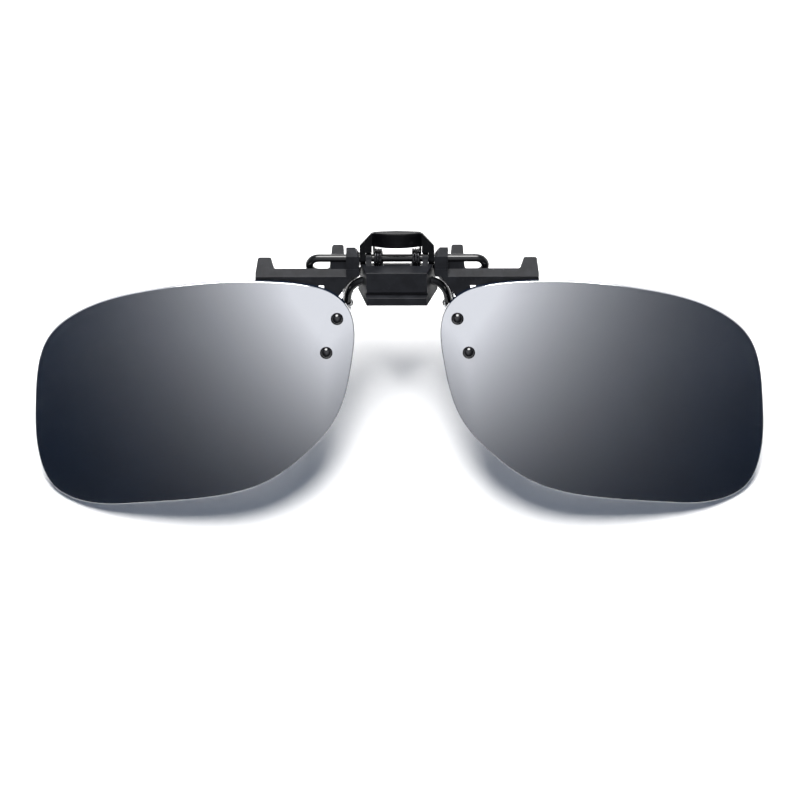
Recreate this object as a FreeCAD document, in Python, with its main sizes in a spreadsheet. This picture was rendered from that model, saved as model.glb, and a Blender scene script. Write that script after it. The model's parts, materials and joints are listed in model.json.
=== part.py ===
import FreeCAD, Part
import math
import os
import Sketcher

# Clip-on flip-up lenses for spectacles, in millimetres.
#
# The part stands as it is worn: +X to the right, the lens fronts face -Y, +Z is up.
# The origin is the middle of the grip, between the silicone tips that hold the wearer's
# lenses. Every piece is drawn about the hinge axle, which runs along X, and its Placement
# then lifts it to the axle's place. Pieces on the right are mirror images of the left ones.

V = FreeCAD.Vector

DIMENSIONS = [
    # hinge axle, as seen from the grip
    ("axle_y", -4.15), ("axle_z", 17.5),
    # wire and the room around it
    ("wire_r", 0.75), ("wire_hole_r", 0.77), ("running_hole_r", 0.79),
    # lens: one spherical shell, cut to an outline
    ("lens_width", 60.6), ("lens_height", 45.84), ("lens_nasal_x", 8.4), ("lens_top_z", -3.4),
    ("lens_radius", 132.0), ("lens_back_radius", 130.9),
    ("lens_ball_x", 27.5), ("lens_ball_y", 126.35), ("lens_ball_z", -26.0), ("lens_edge_round", 0.2),
    # rivets through the lens and the bracket's foot
    ("rivet_upper_x", 11.4), ("rivet_upper_z", -10.9),
    ("rivet_lower_x", 13.5), ("rivet_lower_z", -17.4),
    ("rivet_shank_r", 0.60), ("rivet_hole_r", 0.63), ("rivet_head_r", 1.20),
    ("rivet_head_high", 0.85), ("rivet_ball_r", 1.30), ("rivet_end_y", -0.30),
    ("rivet_blank_spare", 1.0), ("rivet_shank_bite", 0.25),
    ("cap_r", 1.20), ("cap_y", -0.03), ("cap_round", 0.3), ("cap_bore_spare", 0.02),
    ("drill_reach", 9.0), ("foot_r", 2.05), ("foot_front_y", -5.0),
    # bracket: plate behind the lens, tilted strip with two tabs, ear on the axle
    ("plate_front_y", -2.0), ("plate_back_y", -0.9), ("plate_end_x", 26.8), ("plate_top_z", -3.07),
    ("plate_arm_x", 9.55), ("plate_arm_z", -1.6), ("plate_nose_x", 7.5),
    ("plate_tip_x", 11.15), ("plate_tip_z", -7.1), ("plate_heel_x", 11.9), ("plate_heel_z", -9.6),
    ("plate_toe_x", 15.5), ("plate_toe_z", -11.4), ("plate_low_x", 19.5), ("plate_low_z", -7.6),
    ("plate_end_z", -5.6),
    ("window_near_x", 13.8), ("window_far_x", 14.85), ("window_top_z", -4.8), ("window_low_z", -6.6),
    ("strip_tilt", 35.0), ("strip_deep", 0.9), ("strip_back", 1.95), ("strip_edge_round", 0.14),
    ("tab_round", 0.45), ("tab_start", 0.9),
    ("outer_tab_root_x", 23.2), ("outer_tab_top_x", 23.9), ("outer_tab_end_x", 26.35),
    ("outer_tab_top", 4.57), ("outer_tab_shoulder", 1.0),
    ("inner_tab_root_x", 12.8), ("inner_tab_top_x", 12.35), ("inner_tab_near_top_x", 10.2),
    ("inner_tab_near_root_x", 9.85), ("inner_tab_top", 7.48), ("strip_near_x", 9.0),
    ("ear_near_x", 7.12), ("ear_far_x", 9.62), ("ear_front_y", -1.7), ("ear_front_z", 0.8),
    ("ear_slope_x", 8.1), ("ear_slope_low_z", 0.5), ("ear_slope_high_z", 1.9), ("ear_depth", 4.0),
    ("ear_top_y", 1.0), ("ear_top_z", 1.78), ("ear_back_y", 1.5), ("ear_back_z", 1.25),
    ("ear_under_z", -1.0), ("ear_throat_y", 0.3), ("ear_throat_z", -1.7),
    ("socket_near_x", 9.6), ("socket_far_x", 12.5), ("socket_front_y", -0.5), ("socket_back_y", 2.1),
    ("socket_top_z", -0.3), ("socket_low_z", -4.3),
    # axle wire with its two side loops
    ("loop_turn_x", 14.85), ("loop_low_y", 1.2), ("loop_low_z", -3.3), ("loop_end_x", 10.9),
    # front body: a hood with a finger face, flaring backwards
    ("hood_back_y", -1.1), ("hood_back_z", -0.9), ("hood_face_y", -5.0), ("hood_ridge_z", -1.3),
    ("hood_groove_top_z", -5.2), ("hood_groove_y", -4.5), ("hood_groove_high_z", -5.5),
    ("hood_groove_low_z", -5.75), ("hood_lip_y", -5.5), ("hood_lip_z", -6.15),
    ("hood_lip_low_z", -7.5), ("hood_sole_y", -5.2), ("hood_sole_z", -7.75),
    ("hood_tail_y", 2.6), ("hood_tail_z", -7.1), ("hood_raw_width", 17.0),
    ("hood_front_half", 5.50), ("hood_front_y", -6.0), ("hood_rear_half", 7.87), ("hood_rear_y", 4.0),
    ("hood_edge_round", 0.16), ("hood_reach", 12.0),
    ("cavity_width", 9.2), ("cavity_front_y", -3.9), ("cavity_top_z", -2.2),
    ("cavity_mouth_y", -0.6), ("cavity_mouth_z", -1.85), ("cavity_low_z", -6.5),
    ("cavity_tail_y", 3.4), ("cavity_tail_z", -6.0),
    ("saddle_half", 5.0), ("saddle_back_y", -1.8), ("saddle_top_z", -2.1), ("saddle_low_z", -4.4),
    ("lug_near_x", 4.85), ("lug_far_x", 5.85), ("lug_r", 1.35),
    ("lug_top_z", 0.6), ("lug_back_y", 0.9), ("lug_low_z", -0.9),
    ("lug_foot_y", -2.4), ("lug_foot_z", -1.9), ("lug_heel_y", -0.6), ("lug_heel_z", -2.3),
    ("well_near_x", 2.5), ("well_far_x", 4.78), ("well_r", 2.03),
    # rear lever: arched finger pad over the axle, two cheeks on it, cross bar for the rear wire
    ("arch_front_y", -2.6), ("arch_side_y", -1.3), ("arch_back_y", -0.3), ("arch_half", 7.04),
    ("arch_side_z", 2.76), ("arch_shoulder_x", 4.95), ("arch_shoulder_z", 5.13),
    ("arch_crown_x", 4.3), ("arch_crown_z", 5.48), ("arch_peak_z", 5.62), ("arch_bow_x", 4.7),
    ("arch_gate_x", 4.72), ("arch_gate_z", 2.80), ("arch_foot_z", 1.45), ("arch_cheek_z", 1.2),
    ("arch_round", 0.22), ("cheek_near_x", 5.95), ("cheek_r", 1.35), ("cheek_front_z", 0.35),
    ("cheek_top_z", 2.2), ("cheek_waist_y", 2.2), ("cheek_waist_z", 0.9),
    ("cheek_back_y", 4.5), ("cheek_knee_z", -2.6), ("cheek_low_z", -4.7),
    ("cheek_inner_y", 2.4), ("cheek_throat_y", 0.9), ("cheek_throat_z", -1.0),
    ("bar_front_y", 2.5), ("bar_back_y", 4.4), ("bar_top_z", -2.6), ("bar_low_z", -4.6),
    ("bite", 0.2),
    # torsion springs
    ("spring_wire_r", 0.22), ("spring_coil_r", 1.65), ("spring_start_x", 2.85), ("spring_end_x", 4.38),
    ("spring_turns", 3.0), ("spring_body_angle", -60.0), ("spring_lever_angle", 40.0),
    ("spring_body_reach", 2.4), ("spring_lever_reach", 3.4),
    ("spring_slot_r", 0.25), ("spring_slot_start", 2.0), ("spring_slot_long", 1.55),
    # silicone sleeves
    ("sleeve_r", 1.26), ("sleeve_tip", 0.5),
]

doc = FreeCAD.newDocument("clip_on_flip_lenses")
sheet = doc.addObject("Spreadsheet::Sheet", "dims")
dim = {}
for row, (alias, value) in enumerate(DIMENSIONS, start=1):
    sheet.set(f"A{row}", alias)
    sheet.set(f"B{row}", str(value))
    sheet.setAlias(f"B{row}", alias)
    dim[alias] = value
doc.recompute()

AXLE = V(0, dim["axle_y"], dim["axle_z"])


def number(term):
    """A coordinate is a plain number, or the name of a dimension with or without a minus."""
    if isinstance(term, str):
        return -dim[term[1:]] if term.startswith("-") else dim[term]
    return term


def bind(thing, path, term):
    if isinstance(term, str):
        sign = "-" if term.startswith("-") else ""
        thing.setExpression(path, f"{sign}dims.{term.lstrip('-')}")


def place_on_axle(thing):
    thing.Placement = FreeCAD.Placement(AXLE, FreeCAD.Rotation())
    bind(thing, "Placement.Base.y", "axle_y")
    bind(thing, "Placement.Base.z", "axle_z")


def finished(thing, label):
    thing.Label = label
    place_on_axle(thing)
    PIECES.append(thing)
    return thing


def mirrored(source, label):
    """The right-hand piece: the left one mirrored in the plane X = 0."""
    twin = doc.addObject("Part::Mirroring", label)
    twin.Source = source
    twin.Base = V(0, 0, 0)
    twin.Normal = V(1, 0, 0)
    twin.Label = label
    PIECES.append(twin)
    return twin


PIECES = []


# ---------------------------------------------------------------- sketch helpers

def new_body(name):
    return doc.addObject("PartDesign::Body", name)


def new_sketch(body, role, name, lift=0.0, offset=None):
    """A sketch on one of the body's own origin planes, lifted along the plane's normal."""
    plane = [item for item in body.Origin.OriginFeatures if item.Role == role][0]
    sketch = body.newObject("Sketcher::SketchObject", name)
    sketch.AttachmentSupport = (plane, "")
    sketch.MapMode = "FlatFace"
    if offset is None:
        offset = FreeCAD.Placement(V(0, 0, number(lift)), FreeCAD.Rotation())
    sketch.AttachmentOffset = offset
    if isinstance(lift, str):
        bind(sketch, "AttachmentOffset.Base.z", lift)
    return sketch


def pin_point(sketch, geometry, end, point):
    """Hold a point at signed distances from the sketch's origin, bound to the sheet."""
    for kind, term in (("DistanceX", point[0]), ("DistanceY", point[1])):
        where = sketch.addConstraint(
            Sketcher.Constraint(kind, -1, 1, geometry, end, number(term)))
        bind(sketch, f"Constraints[{where}]", term)


def draw_polygon(sketch, corners):
    first = sketch.GeometryCount
    count = len(corners)
    spots = [V(number(corner[0]), number(corner[1]), 0) for corner in corners]
    for step in range(count):
        sketch.addGeometry(Part.LineSegment(spots[step], spots[(step + 1) % count]), False)
    for step in range(count):
        after = first + (step + 1) % count
        sketch.addConstraint(Sketcher.Constraint("Coincident", first + step, 2, after, 1))
        pin_point(sketch, first + step, 1, corners[step])
    return sketch


def draw_circle(sketch, radius):
    """A circle about the sketch's origin."""
    circle = sketch.addGeometry(Part.Circle(V(0, 0, 0), V(0, 0, 1), number(radius)), False)
    sketch.addConstraint(Sketcher.Constraint("Coincident", circle, 3, -1, 1))
    where = sketch.addConstraint(Sketcher.Constraint("Radius", circle, number(radius)))
    bind(sketch, f"Constraints[{where}]", radius)


def pad(body, sketch, length, reverse=False, symmetric=False):
    feature = body.newObject("PartDesign::Pad", f"{sketch.Name}_pad")
    feature.Profile = sketch
    feature.setExpression("Length", length)
    feature.Midplane = symmetric
    feature.Reversed = reverse
    doc.recompute()
    return feature


def pocket(body, sketch, length, reverse=False, symmetric=False):
    before = body.Shape.Volume
    feature = body.newObject("PartDesign::Pocket", f"{sketch.Name}_cut")
    feature.Profile = sketch
    feature.setExpression("Length", length)
    feature.Midplane = symmetric
    feature.Reversed = reverse
    doc.recompute()
    if body.Shape.Volume > before - 0.01:
        raise RuntimeError(f"{feature.Name} removes nothing")
    return feature


# how near two coordinates must be to count as one
NEAR = 0.02


def chosen_edges(shape, wanted):
    """Numbers of the edges whose middle passes the test."""
    numbers = []
    for index, edge in enumerate(shape.Edges, start=1):
        middle = edge.valueAt((edge.FirstParameter + edge.LastParameter) / 2)
        if wanted(middle, edge):
            numbers.append(index)
    return numbers


def checked_rounding(feature, base):
    doc.recompute()
    if "Invalid" in feature.State or abs(feature.Shape.Volume - base.Shape.Volume) < 1e-5:
        raise RuntimeError(f"{feature.Name} rounds nothing")
    return feature


def round_body(body, base, radius, wanted):
    """A fillet inside a body."""
    feature = body.newObject("PartDesign::Fillet", f"{base.Name}_fillet")
    feature.Base = (base, [f"Edge{index}" for index in chosen_edges(base.Shape, wanted)])
    bind(feature, "Radius", radius)
    return checked_rounding(feature, base)


def round_solid(name, base, radius, wanted):
    """A fillet on any solid."""
    feature = doc.addObject("Part::Fillet", name)
    feature.Base = base
    size = number(radius)
    feature.Edges = [(index, size, size) for index in chosen_edges(base.Shape, wanted)]
    return checked_rounding(feature, base)


# ---------------------------------------------------------------- solid helpers

def boolean(kind, name, base, tool):
    feature = doc.addObject(f"Part::{kind}", name)
    feature.Base = base
    feature.Tool = tool
    doc.recompute()
    return feature


def fuse_all(name, shapes):
    feature = doc.addObject("Part::MultiFuse", name)
    feature.Shapes = shapes
    doc.recompute()
    return feature


def ball(name, radius, centre):
    feature = doc.addObject("Part::Sphere", name)
    bind(feature, "Radius", radius)
    feature.Placement.Base = V(number(centre[0]), number(centre[1]), number(centre[2]))
    for axis, term in zip("xyz", centre):
        bind(feature, f"Placement.Base.{axis}", term)
    return feature


def rod(name, radius, start, direction, length):
    feature = doc.addObject("Part::Cylinder", name)
    bind(feature, "Radius", radius)
    feature.Height = length
    turn = FreeCAD.Rotation(V(0, 0, 1), direction)
    feature.Placement = FreeCAD.Placement(start, turn)
    return feature


def spine(name, corners, bends):
    """Straight runs joined by tangent arcs: one bend radius for each inner corner."""
    edges = []
    here = corners[0]
    for index, radius in enumerate(bends, start=1):
        corner = corners[index]
        back = (corners[index - 1] - corner).normalize()
        ahead = (corners[index + 1] - corner).normalize()
        half = back.getAngle(ahead) / 2
        reach = radius / math.tan(half)
        into = corner + back * reach
        out = corner + ahead * reach
        bisector = (back + ahead).normalize()
        middle = corner + bisector * (radius / math.sin(half) - radius)
        edges.append(Part.LineSegment(here, into).toShape())
        edges.append(Part.Arc(into, middle, out).toShape())
        here = out
    edges.append(Part.LineSegment(here, corners[-1]).toShape())
    feature = doc.addObject("Part::Feature", name)
    feature.Shape = Part.Wire(edges)
    return feature


def tube_along(name, path, radius):
    """A round rod swept along a spine."""
    first = path.Shape.Edges[0]
    start = first.valueAt(first.FirstParameter)
    direction = first.tangentAt(first.FirstParameter)
    section = doc.addObject("Part::Circle", f"{name}_section")
    bind(section, "Radius", radius)
    section.Placement = FreeCAD.Placement(start, FreeCAD.Rotation(V(0, 0, 1), direction))
    feature = doc.addObject("Part::Sweep", name)
    feature.Sections = [section]
    feature.Spine = (path, [f"Edge{n + 1}" for n in range(len(path.Shape.Edges))])
    feature.Solid = True
    feature.Frenet = False
    doc.recompute()
    wanted = math.pi * number(radius) ** 2 * path.Shape.Length
    if abs(feature.Shape.Volume / wanted - 1) > 0.01:
        raise RuntimeError(f"{name}: swept volume is off")
    return feature


# ---------------------------------------------------------------- lens

# Outline of the left lens as fractions of its width, from the temple towards the nose,
# and of its height, from the lowest point up.
LENS_OUTLINE = [
    (0.6960, 1.0000), (0.5150, 0.9883), (0.4007, 0.9629), (0.1724, 0.8673), (0.0443, 0.7231),
    (0.0010, 0.4487), (0.0131, 0.1761), (0.0573, 0.0566), (0.1584, 0.0007), (0.3170, 0.0126),
    (0.5140, 0.0470), (0.7240, 0.1271), (0.8500, 0.2547), (0.9350, 0.3874), (0.9955, 0.6529),
    (0.9840, 0.8826), (0.9270, 0.9510), (0.8640, 0.9786),
]


def lens_point(across, up):
    x = -dim["lens_nasal_x"] - (1 - across) * dim["lens_width"]
    z = dim["lens_top_z"] - (1 - up) * dim["lens_height"]
    return V(x, z, 0)


BALL_CENTRE = ("-lens_ball_x", "lens_ball_y", "lens_ball_z")


def make_lens():
    outline = doc.addObject("Sketcher::SketchObject", "lens_outline")
    outline.Placement = FreeCAD.Placement(V(0, 0, 0), FreeCAD.Rotation(V(1, 0, 0), 90))
    curve = Part.BSplineCurve()
    curve.interpolate([lens_point(*spot) for spot in LENS_OUTLINE], PeriodicFlag=True)
    outline.addGeometry(curve, False)
    blank = doc.addObject("Part::Extrusion", "lens_blank")
    blank.Base = outline
    blank.DirMode = "Custom"
    blank.Dir = V(0, -1, 0)
    bind(blank, "LengthFwd", "drill_reach")
    bind(blank, "LengthRev", "drill_reach")
    blank.Solid = True
    shell = boolean("Cut", "lens_shell",
                    ball("lens_front_ball", "lens_radius", BALL_CENTRE),
                    ball("lens_back_ball", "lens_back_radius", BALL_CENTRE))
    lens = boolean("Common", "lens_uncut", blank, shell)
    lens = round_solid("lens_rounded", lens, "lens_edge_round", lens_rim)
    for place in ("upper", "lower"):
        drill = drill_rod("lens", place)
        lens = boolean("Cut", f"lens_{place}_drilled", lens, drill)
    return finished(lens, "left_lens")


def lens_rim(middle, edge):
    return edge.Length > dim["lens_height"]


def drill_rod(owner, place):
    reach = dim["drill_reach"]
    return rivet_rod(f"{owner}_{place}_drill", place, "rivet_hole_r", -reach, reach)


def rivet_rod(name, place, radius, from_y, to_y):
    start = V(-dim[f"rivet_{place}_x"], from_y, dim[f"rivet_{place}_z"])
    return rod(name, radius, start, V(0, 1, 0), to_y - from_y)


# ---------------------------------------------------------------- rivets and caps

def make_rivet(place):
    """A domed head whose underside follows the lens, on a plain shank."""
    x = f"-rivet_{place}_x"
    z = f"rivet_{place}_z"
    lens_front = dim["lens_ball_y"] - math.sqrt(
        dim["lens_radius"] ** 2
        - (number(x) + dim["lens_ball_x"]) ** 2
        - (number(z) - dim["lens_ball_z"]) ** 2)
    head_top = lens_front - dim["rivet_head_high"]
    spare = dim["rivet_blank_spare"]
    collar = rivet_rod(f"rivet_{place}_collar", place, "rivet_head_r", head_top - spare,
                       lens_front + spare)
    crown = ball(f"rivet_{place}_crown", "rivet_ball_r", (x, head_top + dim["rivet_ball_r"], z))
    head = boolean("Common", f"rivet_{place}_head", collar, crown)
    seat = ball(f"rivet_{place}_seat", "lens_radius", BALL_CENTRE)
    head = boolean("Cut", f"rivet_{place}_seated", head, seat)
    shank = rivet_rod(f"rivet_{place}_shank", place, "rivet_shank_r",
                      lens_front - dim["rivet_shank_bite"], dim["rivet_end_y"])
    rivet = fuse_all(f"rivet_{place}", [head, shank])
    return finished(rivet, f"left_{place}_rivet")


def make_cap(place):
    """The cap pressed on the shank's end behind the bracket."""
    outer = rivet_rod(f"cap_{place}_outer", place, "cap_r", dim["plate_back_y"], dim["cap_y"])
    bore = rivet_rod(f"cap_{place}_bore", place, "rivet_hole_r",
                     dim["plate_back_y"] - dim["rivet_blank_spare"],
                     dim["rivet_end_y"] + dim["cap_bore_spare"])
    cup = boolean("Cut", f"cap_{place}_cup", outer, bore)
    soft = round_solid(f"cap_{place}", cup, "cap_round", cap_rim)
    return finished(soft, f"left_{place}_rivet_cap")


def cap_rim(middle, edge):
    """The outer circle at the cap's far end."""
    return edge.Length > math.pi * dim["cap_r"] and edge.BoundBox.YMin > dim["cap_y"] - NEAR


# ---------------------------------------------------------------- axle wire

def axle_spine():
    turn_x = dim["loop_turn_x"]
    low = V(0, dim["loop_low_y"], dim["loop_low_z"])
    middle = low * 0.5
    bulge = low.Length / 2
    edges = []
    for side in (-1, 1):
        start = V(side * turn_x, 0, 0)
        end = start + low
        top = start + middle + V(side * bulge, 0, 0)
        tail = V(side * dim["loop_end_x"], 0, 0) + low
        pair = [Part.LineSegment(tail, end).toShape(), Part.Arc(end, top, start).toShape()]
        if side == 1:
            pair = [Part.Arc(start, top, end).toShape(), Part.LineSegment(end, tail).toShape()]
            edges.append(Part.LineSegment(V(-turn_x, 0, 0), start).toShape())
        edges.extend(pair)
    feature = doc.addObject("Part::Feature", "axle_spine")
    feature.Shape = Part.Wire(edges)
    return feature


# ---------------------------------------------------------------- bracket

def make_bracket(axle_clearance):
    body = new_body("bracket_body")
    plate_deep = "dims.plate_back_y - dims.plate_front_y"
    plate = new_sketch(body, "XZ_Plane", "bracket_plate", "-plate_back_y")
    draw_polygon(plate, [
        ("-plate_end_x", "plate_top_z"), ("-plate_arm_x", "plate_top_z"),
        ("-plate_arm_x", "plate_arm_z"), ("-plate_nose_x", "plate_arm_z"),
        ("-plate_tip_x", "plate_tip_z"), ("-plate_heel_x", "plate_heel_z"),
        ("-plate_toe_x", "plate_toe_z"), ("-plate_low_x", "plate_low_z"),
        ("-plate_end_x", "plate_end_z")])
    pad(body, plate, plate_deep)
    window = new_sketch(body, "XZ_Plane", "bracket_window", "-plate_back_y")
    draw_polygon(window, [
        ("-window_far_x", "window_top_z"), ("-window_near_x", "window_top_z"),
        ("-window_near_x", "window_low_z"), ("-window_far_x", "window_low_z")])
    pocket(body, window, plate_deep, reverse=True)

    tilt = FreeCAD.Placement(V(0, dim["plate_front_y"], dim["plate_top_z"]),
                             FreeCAD.Rotation(V(1, 0, 0), dim["strip_tilt"]))
    strip = new_sketch(body, "XY_Plane", "bracket_strip", offset=tilt)
    bind(strip, "AttachmentOffset.Base.y", "plate_front_y")
    bind(strip, "AttachmentOffset.Base.z", "plate_top_z")
    draw_polygon(strip, [
        ("-plate_end_x", 0.0), ("-strip_near_x", 0.0), ("-strip_near_x", "strip_back"),
        ("-inner_tab_near_root_x", "strip_back"), ("-inner_tab_near_top_x", "inner_tab_top"),
        ("-inner_tab_top_x", "inner_tab_top"), ("-inner_tab_root_x", "strip_back"),
        ("-outer_tab_root_x", "strip_back"), ("-outer_tab_top_x", "outer_tab_top"),
        ("-outer_tab_end_x", "outer_tab_top"), ("-plate_end_x", "outer_tab_shoulder")])
    tabs = pad(body, strip, "dims.strip_deep", reverse=True)

    round_body(body, tabs, "tab_round", tab_corner)

    ear = new_sketch(body, "YZ_Plane", "bracket_ear", "-ear_far_x")
    draw_polygon(ear, [
        ("ear_front_y", "ear_front_z"), ("ear_top_y", "ear_top_z"), ("ear_back_y", "ear_back_z"),
        ("ear_back_y", "ear_under_z"), ("ear_throat_y", "ear_throat_z"),
        ("plate_back_y", "plate_top_z"), ("plate_front_y", "plate_top_z"),
        ("plate_front_y", "plate_arm_z"), ("ear_front_y", "plate_arm_z")])
    pad(body, ear, "dims.ear_far_x - dims.ear_near_x")
    slope = new_sketch(body, "XZ_Plane", "bracket_ear_slope")
    draw_polygon(slope, [
        ("-ear_slope_x", "ear_slope_high_z"), ("-ear_near_x", "ear_slope_low_z"),
        ("-cheek_near_x", "ear_slope_low_z"), ("-cheek_near_x", "ear_slope_high_z")])
    pocket(body, slope, "dims.ear_depth", symmetric=True)

    socket = new_sketch(body, "YZ_Plane", "bracket_socket", "-socket_far_x")
    draw_polygon(socket, [
        ("socket_front_y", "socket_top_z"), ("socket_back_y", "socket_top_z"),
        ("socket_back_y", "socket_low_z"), ("socket_front_y", "socket_low_z")])
    pad(body, socket, "dims.socket_far_x - dims.socket_near_x")

    # the foot behind the lens: as deep as it takes to meet the lens's curved back
    foot_profile = doc.addObject("Sketcher::SketchObject", "bracket_foot_profile")
    foot_profile.Placement = FreeCAD.Placement(V(0, dim["plate_back_y"], 0),
                                               FreeCAD.Rotation(V(1, 0, 0), 90))
    draw_foot(foot_profile)
    foot = doc.addObject("Part::Extrusion", "bracket_foot_blank")
    foot.Base = foot_profile
    foot.DirMode = "Custom"
    foot.Dir = V(0, -1, 0)
    foot.setExpression("LengthFwd", "dims.plate_back_y - dims.foot_front_y")
    foot.Solid = True
    seat = ball("bracket_seat", "lens_back_radius", BALL_CENTRE)
    foot = boolean("Common", "bracket_foot", foot, seat)

    softened = round_solid("bracket_softened", body, "strip_edge_round", strip_edge)
    bracket = boolean("Fuse", "bracket_whole", softened, foot)
    for place in ("upper", "lower"):
        bracket = boolean("Cut", f"bracket_{place}_drilled", bracket, drill_rod("bracket", place))
    bracket = boolean("Cut", "bracket_bored", bracket, axle_clearance)
    return finished(bracket, "left_lens_bracket")


def tab_corner(middle, edge):
    """The short edges across the tabs' and the strip's outline."""
    slope = edge.tangentAt(edge.FirstParameter)
    return abs(slope.x) < NEAR and middle.x < -dim["strip_near_x"] - dim["tab_round"] \
        and abs(edge.Length - dim["strip_deep"]) < NEAR \
        and middle.y > dim["plate_front_y"] + dim["tab_start"]


def strip_edge(middle, edge):
    """The long front edge where the tilted strip meets the plate."""
    return edge.Length > dim["plate_end_x"] / 2 and abs(middle.y - dim["plate_front_y"]) < NEAR \
        and abs(middle.z - dim["plate_top_z"]) < NEAR


def draw_foot(sketch):
    """Two round ends about the rivets, joined by their tangent lines."""
    upper = V(-dim["rivet_upper_x"], dim["rivet_upper_z"], 0)
    lower = V(-dim["rivet_lower_x"], dim["rivet_lower_z"], 0)
    along = (lower - upper).normalize()
    aside = V(-along.y, along.x, 0) * dim["foot_r"]
    tip = along * dim["foot_r"]
    sketch.addGeometry(Part.LineSegment(upper + aside, lower + aside), False)
    sketch.addGeometry(Part.Arc(lower + aside, lower + tip, lower - aside), False)
    sketch.addGeometry(Part.LineSegment(lower - aside, upper - aside), False)
    sketch.addGeometry(Part.Arc(upper - aside, upper - tip, upper + aside), False)


# ---------------------------------------------------------------- front body

def make_front_body(leg_clearance, axle_bore):
    body = new_body("hood_body")
    side = new_sketch(body, "YZ_Plane", "hood_side")
    draw_polygon(side, [
        ("hood_back_y", "hood_back_z"), ("hood_face_y", "hood_ridge_z"),
        ("hood_face_y", "hood_groove_top_z"), ("hood_groove_y", "hood_groove_high_z"),
        ("hood_groove_y", "hood_groove_low_z"), ("hood_lip_y", "hood_lip_z"),
        ("hood_lip_y", "hood_lip_low_z"), ("hood_sole_y", "hood_sole_z"),
        ("hood_tail_y", "hood_tail_z")])
    blank = pad(body, side, "dims.hood_raw_width", symmetric=True)
    round_body(body, blank, "hood_edge_round", hood_edge)

    cavity = new_sketch(body, "YZ_Plane", "hood_cavity")
    draw_polygon(cavity, [
        ("cavity_front_y", "cavity_top_z"), ("cavity_mouth_y", "cavity_mouth_z"),
        ("cavity_tail_y", "cavity_mouth_z"), ("cavity_tail_y", "cavity_tail_z"),
        ("cavity_front_y", "cavity_low_z")])
    pocket(body, cavity, "dims.cavity_width", symmetric=True)

    flare = doc.addObject("Part::Wedge", "hood_flare")
    for name, term in (("Xmin", "-hood_front_half"), ("Xmax", "hood_front_half"),
                       ("Ymin", "hood_front_y"), ("Ymax", "hood_rear_y"),
                       ("X2min", "-hood_rear_half"), ("X2max", "hood_rear_half")):
        bind(flare, name, term)
    for name, term in (("Zmin", "-hood_reach"), ("Z2min", "-hood_reach"),
                       ("Zmax", "hood_reach"), ("Z2max", "hood_reach")):
        bind(flare, name, term)
    doc.recompute()
    hood = boolean("Common", "hood_flared", body, flare)

    saddle = doc.addObject("Part::Box", "hood_saddle")
    saddle.setExpression("Length", "2 * dims.saddle_half")
    saddle.setExpression("Width", "dims.saddle_back_y - dims.cavity_front_y + dims.bite")
    saddle.setExpression("Height", "dims.saddle_top_z - dims.saddle_low_z")
    saddle.setExpression("Placement.Base.x", "-dims.saddle_half")
    saddle.setExpression("Placement.Base.y", "dims.cavity_front_y - dims.bite")
    saddle.setExpression("Placement.Base.z", "dims.saddle_low_z")

    lugs = new_body("hood_lugs")
    shape = new_sketch(lugs, "YZ_Plane", "lug_foot", "lug_near_x")
    draw_polygon(shape, [
        ("hood_back_y", "lug_top_z"), ("lug_back_y", "lug_low_z"),
        ("lug_heel_y", "lug_heel_z"), ("lug_foot_y", "lug_foot_z")])
    pad(lugs, shape, "dims.lug_far_x - dims.lug_near_x")
    ring = new_sketch(lugs, "YZ_Plane", "lug_ring", "lug_near_x")
    draw_circle(ring, "lug_r")
    pad(lugs, ring, "dims.lug_far_x - dims.lug_near_x")
    other_lug = doc.addObject("Part::Mirroring", "hood_other_lug")
    other_lug.Source = lugs
    other_lug.Normal = V(1, 0, 0)
    doc.recompute()

    hood = fuse_all("hood_whole", [hood, saddle, lugs, other_lug])
    hood = boolean("Cut", "hood_leg_channel", hood, leg_clearance)
    hood = boolean("Cut", "hood_bored", hood, axle_bore)
    for well in spring_wells():
        hood = boolean("Cut", f"{well.Name}_cut", hood, well)
    return finished(hood, "front_body")


def hood_edge(middle, edge):
    """The ridge, the groove's brink, the lip and the sole's front: every long edge of the face."""
    ends = ("hood_ridge_z", "hood_groove_top_z", "hood_lip_z", "hood_lip_low_z")
    return edge.Length > dim["hood_raw_width"] - NEAR \
        and min(abs(middle.z - dim[name]) for name in ends) < NEAR


def spring_wells():
    """Room for the two coils in the hood's rear edge."""
    near = dim["well_near_x"]
    long = dim["well_far_x"] - near
    return [rod("right_spring_well", "well_r", V(near, 0, 0), V(1, 0, 0), long),
            rod("left_spring_well", "well_r", V(-near, 0, 0), V(-1, 0, 0), long)]


# ---------------------------------------------------------------- rear lever

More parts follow.
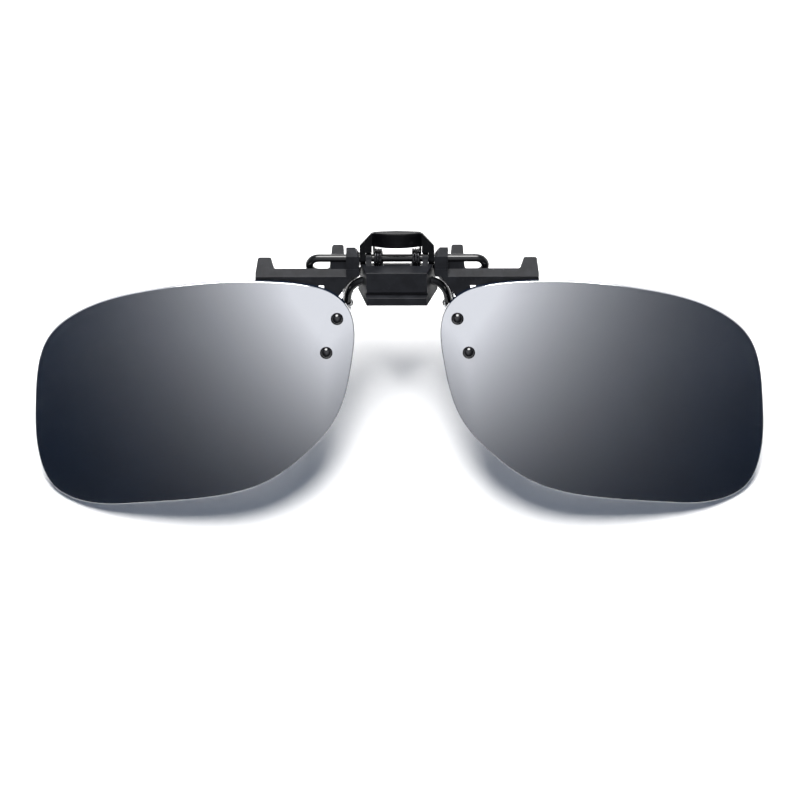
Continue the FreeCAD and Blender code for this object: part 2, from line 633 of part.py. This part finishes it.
def make_rear_lever(leg_clearance, axle_bore, spring_slots):
    arch = new_body("lever_arch")
    face = new_sketch(arch, "XZ_Plane", "arch_face", "-arch_back_y")
    right_half = [
        ("arch_crown_x", "arch_crown_z"), ("arch_shoulder_x", "arch_shoulder_z"),
        ("arch_half", "arch_side_z"), ("arch_half", "arch_cheek_z"),
        ("cheek_near_x", "arch_cheek_z"), ("cheek_near_x", "arch_foot_z"),
        ("arch_gate_x", "arch_foot_z"), ("arch_gate_x", "arch_gate_z")]
    left_half = [(f"-{across}", up) for across, up in reversed(right_half)]
    draw_polygon(face, [(0.0, "arch_peak_z")] + right_half + left_half)
    pad(arch, face, "dims.arch_back_y - dims.arch_front_y")
    bowed = boolean("Common", "arch_bowed", arch, arch_plan())
    pad_piece = round_solid("arch_rounded", bowed, "arch_round", arch_rim)

    cheek = new_body("lever_cheek")
    side = new_sketch(cheek, "YZ_Plane", "cheek_side", "cheek_near_x")
    draw_polygon(side, [
        ("arch_side_y", "cheek_top_z"), ("arch_back_y", "cheek_top_z"),
        ("cheek_waist_y", "cheek_waist_z"), ("cheek_back_y", "cheek_knee_z"),
        ("cheek_back_y", "cheek_low_z"), ("cheek_inner_y", "cheek_low_z"),
        ("cheek_inner_y", "cheek_knee_z"), ("cheek_throat_y", "cheek_throat_z"),
        ("arch_side_y", "cheek_front_z")])
    pad(cheek, side, "dims.arch_half - dims.cheek_near_x")
    ring = new_sketch(cheek, "YZ_Plane", "cheek_ring", "cheek_near_x")
    draw_circle(ring, "cheek_r")
    pad(cheek, ring, "dims.arch_half - dims.cheek_near_x")
    other_cheek = doc.addObject("Part::Mirroring", "lever_other_cheek")
    other_cheek.Source = cheek
    other_cheek.Normal = V(1, 0, 0)

    bar = doc.addObject("Part::Box", "lever_bar")
    bar.setExpression("Length", "2 * dims.cheek_near_x + 2 * dims.bite")
    bar.setExpression("Width", "dims.bar_back_y - dims.bar_front_y")
    bar.setExpression("Height", "dims.bar_top_z - dims.bar_low_z")
    bar.setExpression("Placement.Base.x", "-dims.cheek_near_x - dims.bite")
    bar.setExpression("Placement.Base.y", "dims.bar_front_y")
    bar.setExpression("Placement.Base.z", "dims.bar_low_z")
    doc.recompute()

    lever = fuse_all("lever_whole", [pad_piece, cheek, other_cheek, bar])
    lever = boolean("Cut", "lever_leg_channel", lever, leg_clearance)
    lever = boolean("Cut", "lever_bored", lever, axle_bore)
    for slot in spring_slots:
        lever = boolean("Cut", f"{slot.Name}_cut", lever, slot)
    return finished(lever, "rear_lever")


def arch_plan():
    """The arch seen from above: a flat back, and a front that bows out between its shoulders."""
    sketch = doc.addObject("Sketcher::SketchObject", "arch_plan")
    half, bow = dim["arch_half"], dim["arch_bow_x"]
    back, side = dim["arch_back_y"], dim["arch_side_y"]
    corners = [V(bow, side, 0), V(half, side, 0), V(half, back, 0),
               V(-half, back, 0), V(-half, side, 0), V(-bow, side, 0)]
    for start, end in zip(corners, corners[1:]):
        sketch.addGeometry(Part.LineSegment(start, end), False)
    sketch.addGeometry(Part.Arc(corners[-1], V(0, dim["arch_front_y"], 0), corners[0]), False)
    blank = doc.addObject("Part::Extrusion", "arch_plan_blank")
    blank.Base = sketch
    blank.DirMode = "Custom"
    blank.Dir = V(0, 0, 1)
    bind(blank, "LengthFwd", "drill_reach")
    blank.Solid = True
    doc.recompute()
    return blank


def arch_rim(middle, edge):
    """The arch's upper front and rear edges, from one side round the crown to the other."""
    across = edge.tangentAt(edge.FirstParameter)
    return middle.z > dim["arch_side_z"] + 0.3 and abs(across.x) > 0.3


# ---------------------------------------------------------------- leg wires and sleeves

FRONT_LEG = [(0, -2.6, -3.26), (8.85, -1.6, -3.62), (10.2, 2.85, -13.2), (11.4, 2.85, -18.6)]
FRONT_BENDS = [4.6, 8.0]
REAR_LEG = [(0, 3.4, -3.6), (7.5, 3.4, -3.6), (9.5, 6.5, -7.6), (10.2, 6.5, -13.2), (11.4, 5.55, -18.6)]
REAR_BENDS = [2.4, 5.0, 8.0]
# where along the run above its last bend each sleeve starts
FRONT_SLEEVE_SHARE = 0.58
REAR_SLEEVE_SHARE = 0.25


def leg_spine(name, half, bends):
    """The wire's whole route: the right half's corners and their mirror image."""
    right = [V(*corner) for corner in half]
    left = [V(-corner.x, corner.y, corner.z) for corner in reversed(right[1:])]
    return spine(name, left + right[1:], list(reversed(bends)) + bends)


def make_sleeve(name, half, last_bend, start_share, side_label):
    """A closed silicone sleeve on the left leg's end."""
    knee, ankle, toe = (V(-spot[0], spot[1], spot[2]) for spot in half[-3:])
    start = knee + (ankle - knee) * start_share
    beyond = (toe - ankle).normalize()
    end = toe + beyond * dim["sleeve_tip"]
    full = spine(f"{name}_route", [start, ankle, end], [last_bend])
    bore_route = spine(f"{name}_bore_route", [start - (ankle - knee).normalize(), ankle, toe],
                       [last_bend])
    skin = tube_along(f"{name}_skin", full, "sleeve_r")
    tip = ball(f"{name}_tip", "sleeve_r", tuple(end))
    bore = tube_along(f"{name}_bore", bore_route, "wire_hole_r")
    whole = boolean("Fuse", f"{name}_whole", skin, tip)
    sleeve = boolean("Cut", f"{name}_hollow", whole, bore)
    return finished(sleeve, f"left_{side_label}_sleeve")


# ---------------------------------------------------------------- torsion springs

def spring_leg(angle_deg, sense, reach, x):
    """A leg that leaves the coil along its tangent, from the coil out to its tip."""
    angle = math.radians(angle_deg)
    outward = V(0, math.cos(angle), math.sin(angle))
    root = V(x, 0, 0) + outward * dim["spring_coil_r"]
    away = V(0, -math.sin(angle), math.cos(angle)) * sense
    return root, root + away * reach


def make_spring():
    """The right-hand spring and the slot in the lever for its upper leg."""
    body_angle, lever_angle = dim["spring_body_angle"], dim["spring_lever_angle"]
    turns = dim["spring_turns"] + (lever_angle - body_angle) / 360
    low_root, low_tip = spring_leg(body_angle, -1, dim["spring_body_reach"], dim["spring_start_x"])
    high_root, high_tip = spring_leg(lever_angle, 1, dim["spring_lever_reach"], dim["spring_end_x"])
    length = dim["spring_end_x"] - dim["spring_start_x"]
    coil = Part.makeHelix(length / turns, length, dim["spring_coil_r"])
    to_axle = FreeCAD.Rotation(V(0, 1, 0), V(0, 0, 1), V(1, 0, 0), "ZXY")
    spin = FreeCAD.Rotation(V(1, 0, 0), body_angle)
    coil.Placement = FreeCAD.Placement(V(dim["spring_start_x"], 0, 0), spin.multiply(to_axle))
    low_leg = Part.LineSegment(low_tip, low_root).toShape()
    high_leg = Part.LineSegment(high_root, high_tip).toShape()
    route = Part.Wire([low_leg] + coil.Edges + [high_leg])
    section = Part.Wire(Part.Circle(low_tip, low_root - low_tip, dim["spring_wire_r"]).toShape())
    feature = doc.addObject("Part::Feature", "spring")
    feature.Shape = route.makePipeShell([section], True, True)
    away = (high_tip - high_root).normalize()
    slot = rod("spring_slot", "spring_slot_r", high_root + away * dim["spring_slot_start"],
               away, dim["spring_slot_long"])
    return finished(feature, "right_torsion_spring"), slot


# ---------------------------------------------------------------- build

axle_route = axle_spine()
axle_wire = finished(tube_along("axle_wire_sweep", axle_route, "wire_r"), "axle_wire")
axle_clearance = tube_along("axle_clearance", axle_route, "wire_hole_r")
axle_bore = rod("axle_bore", "running_hole_r", V(-dim["drill_reach"], 0, 0), V(1, 0, 0),
                2 * dim["drill_reach"])

front_route = leg_spine("front_leg_spine", FRONT_LEG, FRONT_BENDS)
front_leg = finished(tube_along("front_leg_sweep", front_route, "wire_r"), "front_leg_wire")
front_channel = tube_along("front_leg_channel", front_route, "wire_hole_r")
rear_route = leg_spine("rear_leg_spine", REAR_LEG, REAR_BENDS)
rear_leg = finished(tube_along("rear_leg_sweep", rear_route, "wire_r"), "rear_leg_wire")
rear_channel = tube_along("rear_leg_channel", rear_route, "wire_hole_r")

spring, slot = make_spring()
other_slot = doc.addObject("Part::Mirroring", "other_spring_slot")
other_slot.Source = slot
other_slot.Normal = V(1, 0, 0)
doc.recompute()

left_pieces = [
    make_lens(), make_bracket(axle_clearance),
    make_rivet("upper"), make_rivet("lower"), make_cap("upper"), make_cap("lower"),
    make_sleeve("front_sleeve", FRONT_LEG, FRONT_BENDS[-1], FRONT_SLEEVE_SHARE, "front"),
    make_sleeve("rear_sleeve", REAR_LEG, REAR_BENDS[-1], REAR_SLEEVE_SHARE, "rear"),
]
make_front_body(front_channel, axle_bore)
make_rear_lever(rear_channel, axle_bore, [slot, other_slot])
doc.recompute()
for piece in left_pieces:
    mirrored(piece, piece.Label.replace("left", "right"))
mirrored(spring, "left_torsion_spring")
doc.recompute()


def check_document():
    for item in doc.Objects:
        if "Invalid" in item.State or "Error" in item.State:
            raise RuntimeError(f"{item.Name} did not build: {item.State}")
    for piece in PIECES:
        shape = piece.Shape
        if shape.isNull() or not shape.isValid():
            raise RuntimeError(f"{piece.Label} has no valid shape")
        if len(shape.Solids) != 1:
            raise RuntimeError(f"{piece.Label} holds {len(shape.Solids)} solids, not one")


check_document()
os.makedirs("parts", exist_ok=True)
for piece in PIECES:
    piece.Shape.exportStep(f"parts/{piece.Label}.step")
    print(f"{piece.Label}: {piece.Shape.Volume:.2f} mm3")
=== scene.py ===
import json
import math

import bpy
from mathutils import Matrix, Quaternion, Vector


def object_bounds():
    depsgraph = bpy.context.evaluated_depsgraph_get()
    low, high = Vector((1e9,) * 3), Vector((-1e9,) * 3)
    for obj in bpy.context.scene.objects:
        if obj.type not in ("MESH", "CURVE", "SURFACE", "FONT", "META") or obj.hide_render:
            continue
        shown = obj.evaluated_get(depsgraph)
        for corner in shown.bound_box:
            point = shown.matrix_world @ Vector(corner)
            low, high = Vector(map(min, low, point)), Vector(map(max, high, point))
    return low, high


# Clip-on flip lenses, lying front up on a white table and seen from straight above it.
# The object keeps the frame of its CAD model, so the table stands behind it, leaning back
# to face the camera. All lengths are in metres.

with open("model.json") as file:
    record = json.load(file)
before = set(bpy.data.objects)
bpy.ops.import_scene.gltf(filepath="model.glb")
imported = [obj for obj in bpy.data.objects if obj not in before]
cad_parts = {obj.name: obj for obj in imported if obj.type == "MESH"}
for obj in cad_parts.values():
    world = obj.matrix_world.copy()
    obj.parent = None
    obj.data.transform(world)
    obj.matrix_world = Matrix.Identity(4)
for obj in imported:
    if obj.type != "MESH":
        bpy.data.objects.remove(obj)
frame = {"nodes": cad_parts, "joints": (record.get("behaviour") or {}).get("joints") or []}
CAD_LOW, CAD_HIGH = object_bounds()
NODES = frame["nodes"]
MM = 0.001
AXLE = Vector(next(joint["pos_m"] for joint in frame["joints"] if joint["name"] == "flip"))

# ---------------------------------------------------------------- camera

VIEW_AZIMUTH = math.radians(1.7)
VIEW_ELEVATION = math.radians(20.0)
VIEW_ROLL = math.radians(-0.70)
CAMERA_DISTANCE = 4.0
PICTURE_WIDTH = (CAD_HIGH.x - CAD_LOW.x) * 1.0943
SENSOR = 36.0
NEAREST = 0.05
FARTHEST = 50.0

TO_CAMERA = Vector((math.sin(VIEW_AZIMUTH) * math.cos(VIEW_ELEVATION),
                    -math.cos(VIEW_AZIMUTH) * math.cos(VIEW_ELEVATION),
                    math.sin(VIEW_ELEVATION)))
VIEW_RIGHT = Vector((0, 0, 1)).cross(TO_CAMERA).normalized()
VIEW_UP = TO_CAMERA.cross(VIEW_RIGHT)

AIM_RIGHT_OF_AXLE = 0.22 * MM
AIM_BELOW_AXLE = 26.85 * MM
AIM = AXLE + VIEW_RIGHT * AIM_RIGHT_OF_AXLE - VIEW_UP * AIM_BELOW_AXLE


def make_camera():
    """A distant camera with a long lens, so that the view is almost without perspective."""
    data = bpy.data.cameras.new("camera")
    data.sensor_width = SENSOR
    data.lens = SENSOR * CAMERA_DISTANCE / PICTURE_WIDTH
    data.clip_start = NEAREST
    data.clip_end = FARTHEST
    camera = bpy.data.objects.new("camera", data)
    camera.location = AIM + TO_CAMERA * CAMERA_DISTANCE
    camera.rotation_mode = "QUATERNION"
    level = (-TO_CAMERA).to_track_quat("-Z", "Y")
    camera.rotation_quaternion = level @ Quaternion((0, 0, 1), VIEW_ROLL)
    bpy.context.scene.collection.objects.link(camera)
    bpy.context.scene.camera = camera


make_camera()
bpy.context.scene.view_settings.view_transform = "Standard"

# ---------------------------------------------------------------- node helpers


def new_tree(owner):
    """The owner's node tree, emptied."""
    owner.use_nodes = True
    owner.node_tree.nodes.clear()
    return owner.node_tree


def set_input(tree, node, key, value):
    """Links the value if it is a socket, and copies it if it is a number or a colour."""
    if isinstance(value, bpy.types.NodeSocket):
        tree.links.new(value, node.inputs[key])
    else:
        node.inputs[key].default_value = value


def add(tree, kind, **values):
    """A node with its inputs set by name. An underscore stands for a space."""
    node = tree.nodes.new(kind)
    for name, value in values.items():
        set_input(tree, node, name.replace("_", " "), value)
    return node


def math_node(tree, operation, first, second=0.0):
    node = tree.nodes.new("ShaderNodeMath")
    node.operation = operation
    set_input(tree, node, 0, first)
    set_input(tree, node, 1, second)
    return node.outputs[0]


def total(tree, first, *others):
    for other in others:
        first = math_node(tree, "ADD", first, other)
    return first


def product(tree, first, *others):
    for other in others:
        first = math_node(tree, "MULTIPLY", first, other)
    return first


def ramp(tree, value, low, high, to_low=0.0, to_high=1.0):
    """Maps value from low..high to to_low..to_high in a smooth step, level outside."""
    node = add(tree, "ShaderNodeMapRange", Value=value, From_Min=low, From_Max=high,
               To_Min=to_low, To_Max=to_high)
    node.interpolation_type = "SMOOTHSTEP"
    return node.outputs["Result"]


def rgb(red, green, blue):
    return red, green, blue, 1.0


def mix_colours(tree, share, first, second, blend="MIX"):
    node = tree.nodes.new("ShaderNodeMix")
    node.data_type = "RGBA"
    node.blend_type = blend
    factor, colour_a, colour_b = 0, 6, 7
    for key, value in ((factor, share), (colour_a, first), (colour_b, second)):
        set_input(tree, node, key, value)
    return node.outputs[2]


def mix_shaders(tree, share, first, second):
    node = tree.nodes.new("ShaderNodeMixShader")
    for key, value in enumerate((share, first.outputs[0], second.outputs[0])):
        set_input(tree, node, key, value)
    return node.outputs[0]


def noise(tree, place, cell, detail=4.0, roughness=0.5):
    """Noise from 0 to 1 with cells of about that size."""
    return add(tree, "ShaderNodeTexNoise", Vector=place, Scale=1.0 / cell, Detail=detail,
               Roughness=roughness).outputs["Fac"]


def object_place(tree):
    return tree.nodes.new("ShaderNodeTexCoord").outputs["Object"]


def bump(tree, height, distance, strength):
    return add(tree, "ShaderNodeBump", Height=height, Distance=distance,
               Strength=strength).outputs["Normal"]


def output(tree, surface):
    add(tree, "ShaderNodeOutputMaterial", Surface=surface)


def new_material(name):
    material = bpy.data.materials.new(name)
    return material, new_tree(material)


# ---------------------------------------------------------------- materials

def black_plastic():
    """Moulded plastic: near black, with a fine grain and a faint mottling of its gloss."""
    material, tree = new_material("black_plastic")
    place = object_place(tree)
    mottle = noise(tree, place, cell=2.5 * MM, detail=3.0)
    grain = noise(tree, place, cell=0.16 * MM, detail=6.0, roughness=0.6)
    speck = noise(tree, place, cell=0.5 * MM, detail=2.0)
    colour = mix_colours(tree, ramp(tree, mottle, 0.35, 0.65),
                         rgb(0.0048, 0.0052, 0.0064), rgb(0.0078, 0.0084, 0.0102))
    colour = mix_colours(tree, ramp(tree, speck, 0.55, 0.8, 0.0, 0.35),
                         colour, rgb(0.014, 0.015, 0.018))
    height = total(tree, grain, product(tree, speck, 0.6))
    shader = add(tree, "ShaderNodeBsdfPrincipled", Base_Color=colour, IOR=1.18,
                 Roughness=ramp(tree, grain, 0.3, 0.7, 0.34, 0.48),
                 Normal=bump(tree, height, distance=0.012 * MM, strength=0.7))
    output(tree, shader.outputs[0])
    return material


def polished_plastic_painted_shade():
    """The finger pad: smoother than the rest, with a few rubbed streaks, and deeper black than
    the other plastic as painted shade for a face that sits in shade.
    """
    material, tree = new_material("polished_plastic_painted_shade")
    place = object_place(tree)
    rub = noise(tree, place, cell=1.4 * MM, detail=4.0, roughness=0.6)
    fine = noise(tree, place, cell=0.2 * MM, detail=3.0)
    # Painted shade: these base colours are darker than the other plastic's to stand in for the
    # shade on the pad's face.
    colour = mix_colours(tree, ramp(tree, rub, 0.45, 0.75),
                         rgb(0.0012, 0.0013, 0.0017), rgb(0.0036, 0.0038, 0.0045))
    shader = add(tree, "ShaderNodeBsdfPrincipled", Base_Color=colour, IOR=1.12,
                 Roughness=ramp(tree, rub, 0.3, 0.7, 0.16, 0.28),
                 Normal=bump(tree, fine, distance=0.008 * MM, strength=0.5))
    output(tree, shader.outputs[0])
    return material


def black_wire():
    """Steel wire under black lacquer: glossy, with faint drawing marks and orange peel."""
    material, tree = new_material("black_wire")
    place = object_place(tree)
    peel = noise(tree, place, cell=0.9 * MM, detail=2.0)
    fine = noise(tree, place, cell=0.12 * MM, detail=4.0)
    colour = mix_colours(tree, ramp(tree, fine, 0.4, 0.7),
                         rgb(0.0028, 0.003, 0.0034), rgb(0.006, 0.0063, 0.007))
    shader = add(tree, "ShaderNodeBsdfPrincipled", Base_Color=colour, IOR=1.22,
                 Roughness=ramp(tree, fine, 0.3, 0.7, 0.13, 0.2),
                 Coat_Weight=0.22, Coat_Roughness=0.06,
                 Normal=bump(tree, peel, distance=0.02 * MM, strength=0.25))
    output(tree, shader.outputs[0])
    return material


def spring_steel():
    """Blued spring wire with darker stains, darkened further as painted shade for coils that
    sit in shade.
    """
    material, tree = new_material("spring_steel")
    stain = noise(tree, object_place(tree), cell=0.7 * MM, detail=3.0)
    # Painted shade: both colours are kept very dark to stand in for the shade the coils sit in;
    # the stains between them vary at random.
    colour = mix_colours(tree, ramp(tree, stain, 0.35, 0.65),
                         rgb(0.010, 0.0105, 0.012), rgb(0.03, 0.03, 0.032))
    shader = add(tree, "ShaderNodeBsdfPrincipled", Base_Color=colour, Metallic=0.9,
                 Roughness=ramp(tree, stain, 0.3, 0.7, 0.22, 0.36))
    output(tree, shader.outputs[0])
    return material


def rivet_plastic():
    """Polished black nylon."""
    material, tree = new_material("rivet_plastic")
    wave = noise(tree, object_place(tree), cell=0.6 * MM, detail=2.0)
    colour = mix_colours(tree, ramp(tree, wave, 0.4, 0.65),
                         rgb(0.0015, 0.0016, 0.002), rgb(0.0036, 0.0038, 0.0044))
    shader = add(tree, "ShaderNodeBsdfPrincipled", Base_Color=colour, IOR=1.42,
                 Roughness=ramp(tree, wave, 0.3, 0.7, 0.09, 0.14),
                 Normal=bump(tree, wave, distance=0.01 * MM, strength=0.2))
    output(tree, shader.outputs[0])
    return material


def clear_silicone():
    """Soft clear sleeve, slightly hazy in places."""
    material, tree = new_material("clear_silicone")
    haze = noise(tree, object_place(tree), cell=0.8 * MM, detail=3.0)
    colour = mix_colours(tree, ramp(tree, haze, 0.35, 0.7),
                         rgb(0.97, 0.98, 0.985), rgb(0.93, 0.945, 0.955))
    shader = add(tree, "ShaderNodeBsdfPrincipled", Base_Color=colour, IOR=1.41,
                 Transmission_Weight=0.96,
                 Roughness=ramp(tree, haze, 0.3, 0.7, 0.06, 0.14),
                 Normal=bump(tree, haze, distance=0.01 * MM, strength=0.3))
    output(tree, shader.outputs[0])
    return material


def tinted_lens():
    """Smoke-grey lens with a mirror coating, which the high index stands for."""
    material, tree = new_material("tinted_lens")
    place = object_place(tree)
    drift = noise(tree, place, cell=9.0 * MM, detail=2.0)
    dust = noise(tree, place, cell=0.35 * MM, detail=3.0)
    colour = mix_colours(tree, ramp(tree, drift, 0.3, 0.7),
                         rgb(0.0026, 0.0074, 0.0180), rgb(0.0036, 0.0092, 0.0215))
    shader = add(tree, "ShaderNodeBsdfPrincipled", Base_Color=colour, IOR=4.2, Alpha=0.94,
                 Roughness=ramp(tree, dust, 0.4, 0.8, 0.08, 0.11))
    output(tree, shader.outputs[0])
    return material


MATERIALS = {make.__name__: make() for make in (
    black_plastic, polished_plastic_painted_shade, black_wire, spring_steel, rivet_plastic,
    clear_silicone, tinted_lens)}

FINISH = {
    "lens": "tinted_lens", "bracket": "black_plastic", "front_body": "black_plastic",
    "rear_lever": "polished_plastic_painted_shade", "wire": "black_wire", "spring": "spring_steel",
    "sleeve": "clear_silicone", "rivet": "rivet_plastic", "rivet_cap": "rivet_plastic",
}


def finish_of(name):
    """The material whose key ends the node's name."""
    return MATERIALS[next(FINISH[key] for key in FINISH if name.endswith(key))]


for name, node in NODES.items():
    for slot in node.material_slots:
        slot.material = finish_of(name)

# ---------------------------------------------------------------- stage

def add_sheet(name, corners, material):
    """A flat stage sheet. Its front is the side where the corners run counterclockwise."""
    mesh = bpy.data.meshes.new(name)
    mesh.from_pydata(corners, [], [(0, 1, 2, 3)])
    mesh.materials.append(material)
    sheet = bpy.data.objects.new(name, mesh)
    bpy.context.scene.collection.objects.link(sheet)
    return sheet


def backfacing(tree):
    return tree.nodes.new("ShaderNodeNewGeometry").outputs["Backfacing"]


# ---------------------------------------------------------------- table

TABLE_HALF = 1.5


def table_material():
    """White card, seen from its front only, and never in the way of a lamp."""
    material, tree = new_material("white_table")
    fibre = noise(tree, object_place(tree), cell=1.5 * MM)
    colour = mix_colours(tree, fibre, rgb(0.9, 0.9, 0.9), rgb(0.93, 0.93, 0.93))
    card = add(tree, "ShaderNodeBsdfDiffuse", Color=colour)
    clear = add(tree, "ShaderNodeBsdfTransparent")
    shadow = tree.nodes.new("ShaderNodeLightPath").outputs["Is Shadow Ray"]
    unseen = math_node(tree, "MAXIMUM", backfacing(tree), shadow)
    output(tree, mix_shaders(tree, unseen, card, clear))
    return material


def make_table():
    """A wide card behind the object, touching the farthest corners of both lenses."""
    facing = Vector((0, -math.cos(VIEW_ELEVATION), math.sin(VIEW_ELEVATION)))
    aside = Vector((1, 0, 0))
    rise = facing.cross(aside)
    reach = max(-vertex.co.dot(facing)
                for name in ("left_lens", "right_lens") for vertex in NODES[name].data.vertices)
    middle = AIM - facing * (reach + AIM.dot(facing))
    corners = [middle + aside * x * TABLE_HALF + rise * y * TABLE_HALF
               for x, y in ((-1, -1), (1, -1), (1, 1), (-1, 1))]
    add_sheet("table", corners, table_material())


# ---------------------------------------------------------------- lights

KEY_ABOVE_VIEW = math.radians(46.5)
KEY_ASIDE = -0.03
KEY_WIDTH = math.radians(38.0)
KEY_STRENGTH = 9.9


def make_key():
    """The one lamp with a shadow: high over the top of the picture."""
    data = bpy.data.lights.new("key", "SUN")
    data.angle = KEY_WIDTH
    data.energy = KEY_STRENGTH
    data.color = (1.0, 0.99, 0.975)
    key = bpy.data.objects.new("key", data)
    elevation = VIEW_ELEVATION + KEY_ABOVE_VIEW
    to_key = Vector((KEY_ASIDE, -math.cos(elevation), math.sin(elevation)))
    key.rotation_mode = "QUATERNION"
    key.rotation_quaternion = (-to_key).to_track_quat("-Z", "Y")
    bpy.context.scene.collection.objects.link(key)


# The softbox hangs in front of the axle, square to the camera. Its glow is
# SOFTBOX_GLOW * exp(power), where power falls outwards and downwards. The terms' distances are
# in tenths of a metre from the middle: across is sideways to either side, along is upwards.
SOFTBOX_DISTANCE = 50 * MM
SOFTBOX_HALF = 320 * MM
SOFTBOX_TOP = 14 * MM
SOFTBOX_MIDDLE = -4 * MM
SOFTBOX_GLOW = 6.3
SOFTBOX_LIMIT = 2.05
POWER_ACROSS = -4.0
POWER_ACROSS_SQUARED = -0.224
POWER_ALONG = 2.367
POWER_ACROSS_ALONG = -1.807
TENTHS = 10.0
EDGE_GLOW = 1.6


def softbox_material():
    """Brightest over the nose, fading outwards and down, and pale again at its far edges."""
    material, tree = new_material("softbox")
    split = add(tree, "ShaderNodeSeparateXYZ", Vector=object_place(tree))
    sideways = math_node(tree, "SUBTRACT", split.outputs["X"], SOFTBOX_MIDDLE)
    across = product(tree, math_node(tree, "ABSOLUTE", sideways), TENTHS)
    along = product(tree, split.outputs["Y"], TENTHS)
    power = total(tree,
                  product(tree, across, POWER_ACROSS),
                  product(tree, across, across, POWER_ACROSS_SQUARED),
                  product(tree, along, POWER_ALONG),
                  product(tree, across, along, POWER_ACROSS_ALONG))
    glow = product(tree, math_node(tree, "EXPONENT", power), SOFTBOX_GLOW)
    glow = math_node(tree, "MINIMUM", glow, SOFTBOX_LIMIT)
    side_glow = ramp(tree, across, 1.7, 2.6, 0.0, EDGE_GLOW)
    low_glow = ramp(tree, along, -3.0, -2.2, EDGE_GLOW, 0.0)
    edge = math_node(tree, "MAXIMUM", side_glow, low_glow)
    lamp = add(tree, "ShaderNodeEmission", Color=rgb(0.97, 0.99, 1.05),
               Strength=total(tree, glow, edge))
    clear = add(tree, "ShaderNodeBsdfTransparent")
    output(tree, mix_shaders(tree, backfacing(tree), lamp, clear))
    return material


def make_softbox():
    """A near soft panel that faces the object. Only glossy surfaces see it."""
    half, top = SOFTBOX_HALF, SOFTBOX_TOP
    corners = [(-half, top, 0), (half, top, 0), (half, -half, 0), (-half, -half, 0)]
    panel = add_sheet("softbox", corners, softbox_material())
    turn = Matrix((VIEW_RIGHT, VIEW_UP, TO_CAMERA)).transposed().to_4x4()
    panel.matrix_world = Matrix.Translation(AXLE + TO_CAMERA * SOFTBOX_DISTANCE) @ turn
    panel.visible_camera = False
    panel.visible_diffuse = False
    panel.visible_shadow = False
    panel.visible_transmission = False


ROOM = rgb(0.085, 0.110, 0.160)
REAR_GLOW = 1.1
CEILING_GLOW = 0.85
SIDE_GLOW = 1.1
BACKDROP_STRENGTH = 1.05


def make_world():
    """A dim bluish room with a soft panel in front, a pale rear wall and a bright ceiling.

    The panel, walls and ceiling show in reflections only, and the camera sees plain white.
    """
    world = bpy.data.worlds.new("studio")
    bpy.context.scene.world = world
    tree = new_tree(world)
    direction = tree.nodes.new("ShaderNodeTexCoord").outputs["Generated"]
    x, y, z = add(tree, "ShaderNodeSeparateXYZ", Vector=direction).outputs
    aside = math_node(tree, "ABSOLUTE", x)
    panel = product(tree,
                    ramp(tree, aside, 0.10, 0.46, 1.0, 0.0),
                    ramp(tree, z, -0.62, 0.10),
                    ramp(tree, z, 0.25, 0.6, 1.0, 0.0),
                    ramp(tree, y, -0.5, -0.2, 1.0, 0.0))
    rear = ramp(tree, y, 0.05, 0.45, 0.0, REAR_GLOW)
    ceiling = product(tree, ramp(tree, z, 0.72, 0.95), CEILING_GLOW)
    sides = product(tree, ramp(tree, aside, 0.7, 0.95), SIDE_GLOW)
    path = tree.nodes.new("ShaderNodeLightPath").outputs
    glossy = math_node(tree, "SUBTRACT", 1.0, path["Is Diffuse Ray"])
    glow = product(tree, total(tree, panel, rear, ceiling, sides), glossy)
    room = add(tree, "ShaderNodeBackground", Strength=1.0,
               Color=mix_colours(tree, 1.0, ROOM, glow, blend="ADD"))
    backdrop = add(tree, "ShaderNodeBackground", Strength=BACKDROP_STRENGTH, Color=rgb(1, 1, 1))
    add(tree, "ShaderNodeOutputWorld",
        Surface=mix_shaders(tree, path["Is Camera Ray"], room, backdrop))


make_table()
make_key()
make_softbox()
make_world()
